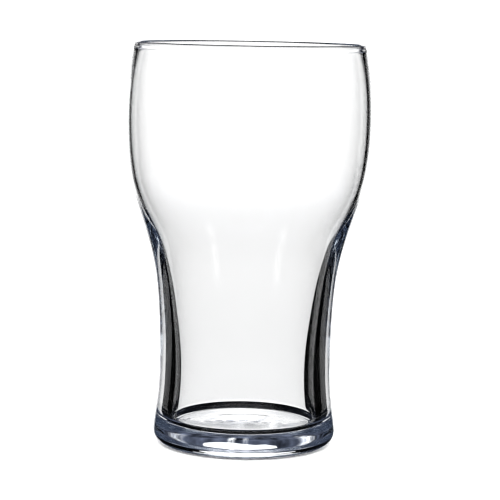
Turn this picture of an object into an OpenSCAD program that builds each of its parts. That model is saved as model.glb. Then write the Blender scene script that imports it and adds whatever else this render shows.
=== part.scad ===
// Pint glass: one seamless, thick-footed piece of clear glass, round about +Z.
// It stands on the plane z = 0, and the origin is the centre of that plane.
// Lengths are in millimetres, and each height is a share of the glass's whole height.

/* [Whole glass] */
// Height from the resting plane to the top of the rim
glass_h = 146; // [130:1:165]
// Greatest diameter, at the bulge under the rim
bulge_d = 89.4; // [85:0.2:94]

/* [Outside diameters] */
// Diameter where the rim's rounded lip starts
rim_d = 84.3; // [81:0.1:87]
// Diameter at the steepest part of the shoulder
shoulder_d = 75.6; // [72:0.2:79]
// Diameter at the neck, where the shoulder starts to open
neck_d = 66.6; // [64:0.2:69]
// Smallest diameter, at the waist
waist_d = 62.6; // [60:0.2:64]
// Diameter of the foot
foot_d = 66.6; // [65:0.2:70]

/* [Wall thickness] */
// Wall at the rim, measured level
rim_wall = 1.85; // [1.4:0.05:2.4]
// Wall at the bulge
bulge_wall = 2; // [1.5:0.1:2.6]
// Wall at the steepest part of the shoulder
shoulder_wall = 2.5; // [2:0.1:3.4]
// Wall at the neck
neck_wall = 4; // [3.2:0.1:5]
// Wall at the waist
waist_wall = 5.6; // [4.6:0.1:7]
// Glass under the middle of the well
floor_t = 7.4; // [5:0.1:11]

/* [Lip] */
// How far the bead under the lip stands into the well
bead_h = 0.2; // [0.05:0.05:0.5]
// Length of the bead along the wall
bead_l = 2; // [1.5:0.1:3]

/* [Foot] */
// Radius of the rounded heel between the foot's side and the resting ring
heel_r = 4.6; // [3:0.1:5.5]
// Width of the flat ring that the glass rests on
ring_w = 4.5; // [3:0.1:6]
// Depth of the hollow under the foot
punt_h = 0.5; // [0.2:0.1:2]
// Radius of the corner between the well's wall and its floor
well_corner_r = 2.9; // [1.4:0.1:6]
// Rise of the floor from its edge to its middle
floor_dome_h = 0.2; // [0.1:0.1:1]

/* [Quality] */
// Height of one step along the profile
step_h = 2; // [1:0.5:4]
// Pieces in each rounded corner
corner_steps = 8; // [4:1:16]
// Pieces along the bead under the lip
bead_steps = 5; // [3:1:10]
// Sides of the turned surface
$fn = 128; // [48:8:256]

/* [Hidden] */

CLEAR_GLASS = [0.86, 0.91, 0.95, 0.35];

// Stations of the outside, bottom to top: [height, radius]
outside = [
    [0.039 * glass_h, foot_d / 2],
    [0.070 * glass_h, foot_d / 2 - 0.55],
    [0.125 * glass_h, waist_d / 2 + 0.45],
    [0.222 * glass_h, waist_d / 2],
    [0.330 * glass_h, waist_d / 2 + 0.45],
    [0.436 * glass_h, neck_d / 2],
    [0.557 * glass_h, shoulder_d / 2],
    [0.647 * glass_h, bulge_d / 2 - 2.75],
    [0.736 * glass_h, bulge_d / 2 - 0.5],
    [0.820 * glass_h, bulge_d / 2],
    [0.900 * glass_h, bulge_d / 2 - 0.65],
    [1.000 * glass_h, rim_d / 2 - 0.5],
];

// Stations of the wall, bottom to top: [height, thickness measured level]
wall = [
    [0.050 * glass_h, waist_wall + 0.5],
    [0.130 * glass_h, waist_wall + 0.3],
    [0.222 * glass_h, waist_wall],
    [0.330 * glass_h, (waist_wall + neck_wall) / 2],
    [0.436 * glass_h, neck_wall],
    [0.510 * glass_h, (neck_wall + shoulder_wall) / 2],
    [0.557 * glass_h, shoulder_wall],
    [0.600 * glass_h, bulge_wall + 0.1],
    [0.700 * glass_h, bulge_wall],
    [0.820 * glass_h, bulge_wall],
    [1.000 * glass_h, rim_wall],
];

// Second derivatives of the natural cubic spline through stations p.
// sweep() runs forward over the inner stations, and unwind() runs back.
function sweep(p, i = 1, rows = [[0, 0]]) =
    i > len(p) - 2 ? rows :
    let (
        before = p[i].x - p[i - 1].x,
        after = p[i + 1].x - p[i].x,
        bend = 6 * ((p[i + 1].y - p[i].y) / after - (p[i].y - p[i - 1].y) / before),
        pivot = 2 * (before + after) - before * rows[i - 1][0]
    )
    sweep(p, i + 1, concat(rows, [[after / pivot, (bend - before * rows[i - 1][1]) / pivot]]));

function unwind(rows, i, done = [0]) =
    i < 1 ? concat([0], done) :
    unwind(rows, i - 1, concat([rows[i][1] - rows[i][0] * done[0]], done));

function bends(p) = unwind(sweep(p), len(p) - 2);

// Value at x of the spline through stations p with second derivatives m
function spline(p, m, x) =
    let (
        i = max([for (k = [0 : len(p) - 2]) if (k == 0 || p[k].x <= x) k]),
        h = p[i + 1].x - p[i].x,
        a = (p[i + 1].x - x) / h,
        b = 1 - a
    )
    a * p[i].y + b * p[i + 1].y
    + ((pow(a, 3) - a) * m[i] + (pow(b, 3) - b) * m[i + 1]) * h * h / 6;

outside_m = bends(outside);
wall_m = bends(wall);

function outer_r(z) = spline(outside, outside_m, z);

// The lip is a half circle across the wall and its bead, leaning in with them
lean = atan((outer_r(0.98 * glass_h) - outer_r(glass_h)) / (0.02 * glass_h));
lip_r = (rim_wall + bead_h) * cos(lean) / 2;
lip_z = glass_h - lip_r;
bead_z = lip_z - bead_l;

// Height of a shallow dome that is rise high at the middle and flat at radius edge
function dome(r, edge, rise) = rise * pow(cos(90 * r / edge), 2);

// Radius of the well, drawn in by the bead just under the lip
function inner_r(z) =
    outer_r(z) - spline(wall, wall_m, z) - (z > bead_z ? dome(lip_z - z, bead_l, bead_h) : 0);

// Points of an arc from angle a0 to a1, measured from the radial direction, from point number first on
function arc(centre, radius, a0, a1, steps, first = 0) =
    [for (i = [first : steps])
        let (a = a0 + (a1 - a0) * i / steps)
        centre + radius * [cos(a), sin(a)]];

lip_out_z = lip_z + lip_r * sin(lean);
lip_in_z = lip_z - lip_r * sin(lean);
lip_centre = [outer_r(lip_out_z) - lip_r * cos(lean), lip_z];

// The heel meets the foot's side, and the flat ring lies inside it
side_z = outside[0].x;
heel_centre = [outer_r(side_z) - heel_r, heel_r];
ring_in_r = heel_centre.x - ring_w;

// The well's corner touches its wall and the edge of its gently domed floor
floor_z = floor_t + punt_h;
floor_edge_z = floor_z - floor_dome_h;
corner_z = floor_edge_z + well_corner_r;
corner_centre = [inner_r(corner_z) - well_corner_r, corner_z];

// Heights from z0 up or down to z1, without z1 itself
function climb(z0, z1) =
    let (steps = ceil(abs(z1 - z0) / step_h))
    [for (i = [0 : steps - 1]) z0 + (z1 - z0) * i / steps];

// Hollow under the foot, from the middle out to the resting ring
punt = [for (i = [0 : corner_steps])
    let (r = ring_in_r * i / corner_steps)
    [r, dome(r, ring_in_r, punt_h)]];

// Rounded lip from the outside over the very top to the well, then the bead under it
lip = concat(
    arc(lip_centre, lip_r, lean, 90, corner_steps),
    arc(lip_centre, lip_r, 90, 180 + lean, corner_steps, 1)
);
bead = [for (i = [1 : bead_steps - 1])
    let (z = lip_in_z + (bead_z - lip_in_z) * i / bead_steps)
    [inner_r(z), z]];

// Floor of the well, from its corner to the middle
well_floor = [for (i = [1 : corner_steps])
    let (r = corner_centre.x * (1 - i / corner_steps))
    [r, floor_edge_z + dome(r, corner_centre.x, floor_dome_h)]];

profile = concat(
    punt,
    arc(heel_centre, heel_r, -90, 0, corner_steps),
    [for (z = climb(side_z, lip_out_z)) [outer_r(z), z]],
    lip,
    bead,
    [for (z = climb(bead_z, corner_z)) [inner_r(z), z]],
    arc(corner_centre, well_corner_r, 0, -90, corner_steps),
    well_floor
);

// The glass itself: foot, thick lower wall, shoulder, bowl and lip are all one piece
module glass_tumbler() {
    color(CLEAR_GLASS)
        rotate_extrude()
            polygon(profile);
}

glass_tumbler();
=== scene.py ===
"""A clear pint glass on a plain pale floor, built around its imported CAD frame. Lengths are in metres."""
import math

import bmesh
import bpy
import numpy as np
from mathutils import Matrix, Vector


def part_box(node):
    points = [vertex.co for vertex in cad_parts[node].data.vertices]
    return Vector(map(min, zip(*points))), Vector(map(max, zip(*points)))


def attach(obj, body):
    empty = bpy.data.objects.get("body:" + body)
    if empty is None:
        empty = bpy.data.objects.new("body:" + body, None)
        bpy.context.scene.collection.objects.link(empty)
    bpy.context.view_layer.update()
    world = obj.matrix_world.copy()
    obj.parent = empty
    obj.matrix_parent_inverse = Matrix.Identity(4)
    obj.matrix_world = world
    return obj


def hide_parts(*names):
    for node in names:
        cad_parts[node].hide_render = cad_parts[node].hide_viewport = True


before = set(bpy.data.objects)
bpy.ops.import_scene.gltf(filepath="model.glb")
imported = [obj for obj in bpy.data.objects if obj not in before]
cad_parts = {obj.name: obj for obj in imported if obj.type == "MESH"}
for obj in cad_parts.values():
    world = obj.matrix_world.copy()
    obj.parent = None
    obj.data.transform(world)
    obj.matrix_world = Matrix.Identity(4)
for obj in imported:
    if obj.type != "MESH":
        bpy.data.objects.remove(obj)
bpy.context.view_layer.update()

NODE = "glass_tumbler"
LOW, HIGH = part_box(NODE)
GLASS_H = HIGH.z - LOW.z
BULGE_R = (HIGH.x - LOW.x) / 2

# ---------------------------------------------------------------- shape of the glass

# Stations of the outside: (share of the height, radius as a share of the bulge's radius)
OUTSIDE = [
    (0.039, 0.7450),
    (0.070, 0.7327),
    (0.125, 0.7103),
    (0.222, 0.7002),
    (0.330, 0.7103),
    (0.436, 0.7450),
    (0.557, 0.8456),
    (0.647, 0.9385),
    (0.736, 0.9888),
    (0.820, 1.0000),
    (0.900, 0.9855),
    (1.000, 0.9318),
]
# Stations of the wall: (share of the height, level thickness as a share of the bulge's radius)
WALL = [
    (0.050, 0.1365),
    (0.130, 0.1320),
    (0.222, 0.1253),
    (0.330, 0.1074),
    (0.436, 0.0895),
    (0.510, 0.0727),
    (0.557, 0.0559),
    (0.600, 0.0470),
    (0.700, 0.0447),
    (0.820, 0.0447),
    (1.000, 0.0414),
]
LIP_BEAD = 0.0002
LIP_BEAD_LENGTH = 0.0020
HEEL_R = 0.0046
RING_WIDTH = 0.0045
PUNT_H = 0.0005
FLOOR_T = 0.0074
FLOOR_DOME_H = 0.0002
WELL_CORNER_R = 0.0029
# The faint rings in the well's floor
RIPPLE_H = 0.000008
RIPPLE_SPACING = 0.0042
# How finely the surface is cut up
PROFILE_STEP = 0.0012
FLOOR_STEPS = 60
CORNER_STEPS = 14
SEGMENTS = 256

# ---------------------------------------------------------------- materials

GLASS_IOR = 1.52
GLASS_TINT = (0.80, 0.90, 1.0)
GLASS_TINT_DENSITY = 3.0
FLOOR_GREY = (0.87, 0.87, 0.87)
# Faint unevenness of a surface: (bumps to a metre, height in metres)
GLASS_BUMPS = (60.0, 0.0000015)
FLOOR_BUMPS = (900.0, 0.0001)

# ---------------------------------------------------------------- camera and lights

# The camera's place in heights of the glass, then its angles in degrees and its lens in millimetres
CAMERA_DISTANCE = 4.985
CAMERA_HEIGHT = 1.105
CAMERA_TILT = 7.08
CAMERA_TURN = -0.091
CAMERA_ROLL = 1.04
CAMERA_LENS = 144.9
CAMERA_SENSOR = 36.0
# Light runs down inside the thick wall, from side to side, before it leaves
LIGHT_BOUNCES = 128
FLOOR_R = 0.6
FLOOR_GAP = 0.0001
# Strength of the white room on the floor, and as the camera sees it
FLOOR_LIGHT = 2.2
CAMERA_LIGHT = 1.03
# The dark room that the glass sees past the lights: (height of the direction, colour), and its mottling
DARK = (0.002, 0.002, 0.002)
SLATE = (0.086, 0.096, 0.126)
CEILING = (0.90, 0.90, 0.93)
ROOM = [(-1.00, DARK), (0.10, DARK), (0.20, SLATE), (0.84, SLATE), (0.92, CEILING)]
ROOM_SPECKLE = 7.0
ROOM_SPECKLE_DETAIL = 3.0
ROOM_SPECKLE_RAMP = (0.36, 0.68, 0.25, 2.2)
# The lit backdrop: how far it stands behind the glass, its corners (right, up) from the middle of the
# glass's underside, and its strength at some heights
BACKDROP_AWAY = 2.5
BACKDROP = [
    (-1.09, -1.22), (0.79, -1.22), (0.79, -0.50), (1.12, -0.42), (1.05, 0.04), (0.66, 0.20),
    (0.60, 0.48), (0.80, 0.575), (0.40, 0.565), (0.00, 0.55), (-0.20, 0.55), (-0.38, 0.565),
    (-0.76, 0.555), (-0.52, 0.46), (-0.60, 0.20), (-1.33, 0.12), (-1.33, -0.12), (-1.09, -0.30),
]
BACKDROP_GLOW = [
    (-1.22, 1.00), (-0.85, 0.86), (-0.60, 0.75), (-0.45, 0.775), (-0.30, 0.81), (-0.20, 0.86),
    (-0.10, 0.915), (0.00, 0.98), (0.10, 1.05), (0.62, 1.05),
]
# Soft lights round the glass, as it sees them, with azimuth 0 in the middle of the backdrop:
# (azimuth, elevation, half width, half height) in degrees, then the strength in the middle
SOFT_LIGHTS = [
    (40.0, 19.0, 12.0, 8.0, 0.60),
    (-34.0, 21.0, 9.0, 11.0, 0.90),
    (5.0, 16.5, 2.0, 8.0, 1.10),
    (-0.6, 16.5, 1.5, 8.0, 0.50),
    (-130.0, 8.0, 9.0, 8.0, 1.50),
    (130.0, 8.0, 9.0, 8.0, 1.50),
]
SOFT_LIGHT_AWAY = 0.95 * BACKDROP_AWAY
SOFT_LIGHT_MOTTLE = 3.0
SOFT_LIGHT_MOTTLE_RAMP = (0.38, 0.62, 0.3, 1.7)


# ---------------------------------------------------------------- the glass's turned profile

def natural_spline(stations):
    """The natural cubic spline through stations, as a function of height in metres."""
    x = np.array([s[0] for s in stations]) * GLASS_H
    y = np.array([s[1] for s in stations]) * BULGE_R
    h = np.diff(x)
    slope = np.diff(y) / h
    matrix = np.eye(len(x))
    bend = np.zeros(len(x))
    for i in range(1, len(x) - 1):
        matrix[i, i - 1:i + 2] = h[i - 1], 2 * (h[i - 1] + h[i]), h[i]
        bend[i] = 6 * (slope[i] - slope[i - 1])
    m = np.linalg.solve(matrix, bend)

    def value(z):
        i = int(np.clip(np.searchsorted(x, z) - 1, 0, len(h) - 1))
        a = (x[i + 1] - z) / h[i]
        b = 1 - a
        cubic = ((a ** 3 - a) * m[i] + (b ** 3 - b) * m[i + 1]) * h[i] ** 2 / 6
        return a * y[i] + b * y[i + 1] + cubic

    return value


outer_r = natural_spline(OUTSIDE)
wall_t = natural_spline(WALL)
LEAN = math.atan((outer_r(0.98 * GLASS_H) - outer_r(GLASS_H)) / (0.02 * GLASS_H))
LIP_R = (WALL[-1][1] * BULGE_R + LIP_BEAD) * math.cos(LEAN) / 2
LIP_Z = GLASS_H - LIP_R


def inner_r(z):
    """Radius of the well, drawn in by the bead under the lip."""
    below_lip = (LIP_Z - z) / LIP_BEAD_LENGTH
    bead = LIP_BEAD * math.cos(math.pi / 2 * below_lip) ** 2 if below_lip < 1 else 0
    return outer_r(z) - wall_t(z) - bead


def arc(centre, radius, start, end):
    """Points (radius, height) of an arc between two angles, counted from the radial direction."""
    angles = np.linspace(start, end, CORNER_STEPS + 1)
    return [(centre[0] + radius * math.cos(a), centre[1] + radius * math.sin(a)) for a in angles]


def climb(z0, z1):
    """Heights from z0 towards z1, without z1 itself."""
    return np.linspace(z0, z1, math.ceil(abs(z1 - z0) / PROFILE_STEP) + 1)[:-1]


def dome(r, edge, rise):
    """Height of a shallow dome that is flat at its edge."""
    return rise * math.cos(math.pi / 2 * r / edge) ** 2


def ripple(r, edge):
    """Height of the faint rings in the well's floor, level with it at its edge."""
    return RIPPLE_H * math.cos(2 * math.pi * r / RIPPLE_SPACING) * math.sin(math.pi * r / edge)


def profile():
    """The glass's outline as (radius, height) rows, from the middle of its underside to the well's."""
    lip_out_z = LIP_Z + LIP_R * math.sin(LEAN)
    lip_in_z = LIP_Z - LIP_R * math.sin(LEAN)
    lip_centre = (outer_r(lip_out_z) - LIP_R * math.cos(LEAN), LIP_Z)
    bead_z = LIP_Z - LIP_BEAD_LENGTH
    side_z = OUTSIDE[0][0] * GLASS_H
    heel_centre = (outer_r(side_z) - HEEL_R, HEEL_R)
    ring_in_r = heel_centre[0] - RING_WIDTH
    floor_edge_z = FLOOR_T + PUNT_H - FLOOR_DOME_H
    corner_z = floor_edge_z + WELL_CORNER_R
    edge = inner_r(corner_z) - WELL_CORNER_R

    punt = [(r, dome(r, ring_in_r, PUNT_H)) for r in np.linspace(0, ring_in_r, CORNER_STEPS + 1)]
    heel = arc(heel_centre, HEEL_R, -math.pi / 2, 0)
    side = [(outer_r(z), z) for z in climb(side_z, lip_out_z)]
    lip = arc(lip_centre, LIP_R, LEAN, math.pi / 2)
    lip += arc(lip_centre, LIP_R, math.pi / 2, math.pi + LEAN)[1:]
    well = [(inner_r(z), z) for z in np.linspace(lip_in_z, bead_z, CORNER_STEPS)[1:]]
    well += [(inner_r(z), z) for z in climb(bead_z, corner_z)[1:]]
    corner = arc((edge, corner_z), WELL_CORNER_R, 0, -math.pi / 2)
    well_floor = [(r, floor_edge_z + dome(r, edge, FLOOR_DOME_H) + ripple(r, edge))
                  for r in np.linspace(edge, 0, FLOOR_STEPS + 1)[1:]]
    return punt + heel + side + lip + well + corner + well_floor


# ---------------------------------------------------------------- meshes

def add_mesh(name, mesh, material):
    """A new object in the scene with this mesh and material."""
    obj = bpy.data.objects.new(name, mesh)
    bpy.context.scene.collection.objects.link(obj)
    mesh.materials.append(material)
    return obj


def lathe(name, rows):
    """A closed mesh turned about +Z from rows whose first and last points lie on the axis."""
    mesh = bpy.data.meshes.new(name)
    bm = bmesh.new()
    turns = [2 * math.pi * k / SEGMENTS for k in range(SEGMENTS)]
    bottom = bm.verts.new((0, 0, rows[0][1]))
    top = bm.verts.new((0, 0, rows[-1][1]))
    rings = [[bm.verts.new((r * math.cos(a), r * math.sin(a), z)) for a in turns]
             for r, z in rows[1:-1]]
    for k in range(SEGMENTS):
        n = (k + 1) % SEGMENTS
        bm.faces.new((bottom, rings[0][n], rings[0][k]))
        bm.faces.new((top, rings[-1][k], rings[-1][n]))
        for low, high in zip(rings, rings[1:]):
            bm.faces.new((low[k], low[n], high[n], high[k]))
    bm.normal_update()
    bm.to_mesh(mesh)
    bm.free()
    mesh.shade_smooth()
    return mesh


def disc(name, radius, segments):
    """A flat round face."""
    mesh = bpy.data.meshes.new(name)
    bm = bmesh.new()
    bmesh.ops.create_circle(bm, cap_ends=True, radius=radius, segments=segments)
    bm.to_mesh(mesh)
    bm.free()
    return mesh


# ---------------------------------------------------------------- shader nodes

def nodes_of(owner):
    """The empty node tree of a material or world."""
    owner.use_nodes = True
    tree = owner.node_tree
    tree.nodes.clear()
    return tree


def math_node(tree, operation, *values):
    """A Math node with its inputs linked or set, returned as its output."""
    node = tree.nodes.new("ShaderNodeMath")
    node.operation = operation
    for socket, value in zip(node.inputs, values):
        if isinstance(value, (int, float)):
            socket.default_value = value
        else:
            tree.links.new(value, socket)
    return node.outputs[0]


def ramp(tree, value, low, high, to_low, to_high):
    """Straight ramp from to_low at low to to_high at high."""
    node = tree.nodes.new("ShaderNodeMapRange")
    tree.links.new(value, node.inputs["Value"])
    for name, number in (("From Min", low), ("From Max", high), ("To Min", to_low), ("To Max", to_high)):
        node.inputs[name].default_value = number
    return node.outputs["Result"]


def color_ramp(tree, value, stops):
    """Colours blended between stops of (position, colour)."""
    node = tree.nodes.new("ShaderNodeValToRGB")
    tree.links.new(value, node.inputs["Fac"])
    elements = node.color_ramp.elements
    elements.remove(elements[1])
    for index, (position, color) in enumerate(stops):
        element = elements.new(position) if index else elements[0]
        element.position = position
        element.color = (*color, 1.0)
    return node.outputs["Color"]


def noise(tree, vector, scale, detail=2.0):
    """Grey noise over vector."""
    node = tree.nodes.new("ShaderNodeTexNoise")
    node.inputs["Scale"].default_value = scale
    node.inputs["Detail"].default_value = detail
    tree.links.new(vector, node.inputs["Vector"])
    return node.outputs[0]


def faint_bumps(tree, scale, height):
    """Normals of a surface that is uneven by height, with scale bumps to a metre."""
    place = tree.nodes.new("ShaderNodeTexCoord")
    bump = tree.nodes.new("ShaderNodeBump")
    bump.inputs["Distance"].default_value = height
    tree.links.new(noise(tree, place.outputs["Object"], scale), bump.inputs["Height"])
    return bump.outputs["Normal"]


# ---------------------------------------------------------------- materials of the glass and the floor

def glass_material():
    """Clear soda-lime glass: fire-polished, faintly uneven, and a little grey-blue where it is thick."""
    material = bpy.data.materials.new("clear_glass")
    tree = nodes_of(material)
    shader = tree.nodes.new("ShaderNodeBsdfPrincipled")
    shader.inputs["Base Color"].default_value = (1.0, 1.0, 1.0, 1.0)
    shader.inputs["Roughness"].default_value = 0.0
    shader.inputs["IOR"].default_value = GLASS_IOR
    shader.inputs["Transmission Weight"].default_value = 1.0
    tree.links.new(faint_bumps(tree, *GLASS_BUMPS), shader.inputs["Normal"])
    absorb = tree.nodes.new("ShaderNodeVolumeAbsorption")
    absorb.inputs["Color"].default_value = (*GLASS_TINT, 1.0)
    absorb.inputs["Density"].default_value = GLASS_TINT_DENSITY
    out = tree.nodes.new("ShaderNodeOutputMaterial")
    tree.links.new(shader.outputs["BSDF"], out.inputs["Surface"])
    tree.links.new(absorb.outputs["Volume"], out.inputs["Volume"])
    return material


def floor_material():
    """Matt white, with a faint tooth."""
    material = bpy.data.materials.new("pale_floor")
    tree = nodes_of(material)
    shader = tree.nodes.new("ShaderNodeBsdfDiffuse")
    shader.inputs["Color"].default_value = (*FLOOR_GREY, 1.0)
    tree.links.new(faint_bumps(tree, *FLOOR_BUMPS), shader.inputs["Normal"])
    out = tree.nodes.new("ShaderNodeOutputMaterial")
    tree.links.new(shader.outputs["BSDF"], out.inputs["Surface"])
    return material


# ---------------------------------------------------------------- studio

def camera():
    """The camera in front of the glass and a little above it."""
    data = bpy.data.cameras.new("camera")
    data.sensor_width = CAMERA_SENSOR
    data.lens = CAMERA_LENS
    data.clip_start = 0.01
    obj = bpy.data.objects.new("camera", data)
    bpy.context.scene.collection.objects.link(obj)
    turn = Matrix.Rotation(math.radians(CAMERA_TURN), 4, "Z")
    tilt = Matrix.Rotation(math.radians(90 - CAMERA_TILT), 4, "X")
    roll = Matrix.Rotation(math.radians(CAMERA_ROLL), 4, "Z")
    place = Matrix.Translation((0, -CAMERA_DISTANCE * GLASS_H, CAMERA_HEIGHT * GLASS_H))
    obj.matrix_world = place @ turn @ tilt @ roll
    bpy.context.scene.camera = obj
    return obj


def hang(obj, view_from, place):
    """Hang a light on the camera, upright, so that it turns with it. Only glass sees it."""
    obj.visible_camera = False
    obj.visible_diffuse = False
    obj.visible_shadow = False
    obj.parent = view_from
    middle = Vector((0, CAMERA_DISTANCE * GLASS_H, -CAMERA_HEIGHT * GLASS_H))
    upright = Matrix.Rotation(math.radians(CAMERA_TILT - 90), 4, "X")
    obj.matrix_local = upright @ Matrix.Translation(middle) @ place


def backdrop(view_from):
    """The lit backdrop behind the glass, brighter towards its top."""
    material = bpy.data.materials.new("lit_backdrop")
    tree = nodes_of(material)
    place = tree.nodes.new("ShaderNodeTexCoord")
    split = tree.nodes.new("ShaderNodeSeparateXYZ")
    tree.links.new(place.outputs["Generated"], split.inputs[0])
    low, high = BACKDROP_GLOW[0][0], BACKDROP_GLOW[-1][0]
    stops = [((z - low) / (high - low), (glow, glow, glow)) for z, glow in BACKDROP_GLOW]
    shader = tree.nodes.new("ShaderNodeEmission")
    tree.links.new(color_ramp(tree, split.outputs["Z"], stops), shader.inputs["Color"])
    out = tree.nodes.new("ShaderNodeOutputMaterial")
    tree.links.new(shader.outputs[0], out.inputs["Surface"])
    mesh = bpy.data.meshes.new("backdrop")
    mesh.from_pydata([(x, 0, z) for x, z in BACKDROP], [], [tuple(range(len(BACKDROP)))])
    hang(add_mesh("backdrop", mesh, material), view_from, Matrix.Translation((0, BACKDROP_AWAY, 0)))


def soft_light(view_from, azimuth, elevation, half_width, half_height, strength):
    """A clear disc that glows towards its middle and fades out at its edge."""
    material = bpy.data.materials.new("soft_light")
    tree = nodes_of(material)
    place = tree.nodes.new("ShaderNodeTexCoord")
    fade = tree.nodes.new("ShaderNodeTexGradient")
    fade.gradient_type = "SPHERICAL"
    tree.links.new(place.outputs["Object"], fade.inputs["Vector"])
    mottle = noise(tree, place.outputs["Object"], SOFT_LIGHT_MOTTLE)
    glow = math_node(tree, "MULTIPLY", fade.outputs[1], ramp(tree, mottle, *SOFT_LIGHT_MOTTLE_RAMP))
    shader = tree.nodes.new("ShaderNodeEmission")
    tree.links.new(math_node(tree, "MULTIPLY", glow, strength), shader.inputs["Strength"])
    clear = tree.nodes.new("ShaderNodeBsdfTransparent")
    both = tree.nodes.new("ShaderNodeAddShader")
    tree.links.new(shader.outputs[0], both.inputs[0])
    tree.links.new(clear.outputs[0], both.inputs[1])
    out = tree.nodes.new("ShaderNodeOutputMaterial")
    tree.links.new(both.outputs[0], out.inputs["Surface"])
    turn = Matrix.Rotation(math.radians(-azimuth), 4, "Z")
    tilt = Matrix.Rotation(math.radians(90 + elevation), 4, "X")
    away = Matrix.Translation((0, 0, -SOFT_LIGHT_AWAY))
    width = SOFT_LIGHT_AWAY * math.tan(math.radians(half_width))
    height = SOFT_LIGHT_AWAY * math.tan(math.radians(half_height))
    size = Matrix.Diagonal((width, height, 1, 1))
    hang(add_mesh("soft_light", disc("soft_light", 1, 48), material), view_from, turn @ tilt @ away @ size)


def room():
    """The white room that the camera and the floor see, and the dark one that the glass sees."""
    world = bpy.data.worlds.new("room")
    bpy.context.scene.world = world
    tree = nodes_of(world)
    path = tree.nodes.new("ShaderNodeLightPath")
    depth = math_node(tree, "ADD", path.outputs["Glossy Depth"], path.outputs["Transmission Depth"])
    in_glass = math_node(tree, "GREATER_THAN", depth, 0.5)
    white = math_node(tree, "MULTIPLY_ADD", path.outputs["Is Camera Ray"], CAMERA_LIGHT - FLOOR_LIGHT,
                      FLOOR_LIGHT)
    white_room = tree.nodes.new("ShaderNodeBackground")
    white_room.inputs["Color"].default_value = (1.0, 1.0, 1.0, 1.0)
    tree.links.new(white, white_room.inputs["Strength"])
    direction = tree.nodes.new("ShaderNodeTexCoord").outputs["Generated"]
    split = tree.nodes.new("ShaderNodeSeparateXYZ")
    tree.links.new(direction, split.inputs[0])
    height = math_node(tree, "MULTIPLY_ADD", split.outputs["Z"], 0.5, 0.5)
    colors = color_ramp(tree, height, [(0.5 + z / 2, color) for z, color in ROOM])
    speckle = noise(tree, direction, ROOM_SPECKLE, ROOM_SPECKLE_DETAIL)
    dark_room = tree.nodes.new("ShaderNodeBackground")
    tree.links.new(colors, dark_room.inputs["Color"])
    tree.links.new(ramp(tree, speckle, *ROOM_SPECKLE_RAMP), dark_room.inputs["Strength"])
    both = tree.nodes.new("ShaderNodeMixShader")
    tree.links.new(in_glass, both.inputs[0])
    tree.links.new(white_room.outputs[0], both.inputs[1])
    tree.links.new(dark_room.outputs[0], both.inputs[2])
    out = tree.nodes.new("ShaderNodeOutputWorld")
    tree.links.new(both.outputs[0], out.inputs["Surface"])


def floor():
    """The pale floor just under the glass."""
    obj = add_mesh("floor", disc("floor", FLOOR_R, 96), floor_material())
    obj.location.z = LOW.z - FLOOR_GAP
    obj.visible_glossy = False
    obj.visible_transmission = False


# ---------------------------------------------------------------- scene

eye = camera()
backdrop(eye)
for light in SOFT_LIGHTS:
    soft_light(eye, *light)
room()
floor()
glass = add_mesh("pint_glass", lathe("pint_glass", profile()), glass_material())
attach(glass, "root")
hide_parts(NODE)

scene = bpy.context.scene
scene.view_settings.view_transform = "Standard"
scene.view_settings.look = "High Contrast"
scene.cycles.max_bounces = LIGHT_BOUNCES
scene.cycles.transmission_bounces = LIGHT_BOUNCES
scene.cycles.glossy_bounces = LIGHT_BOUNCES
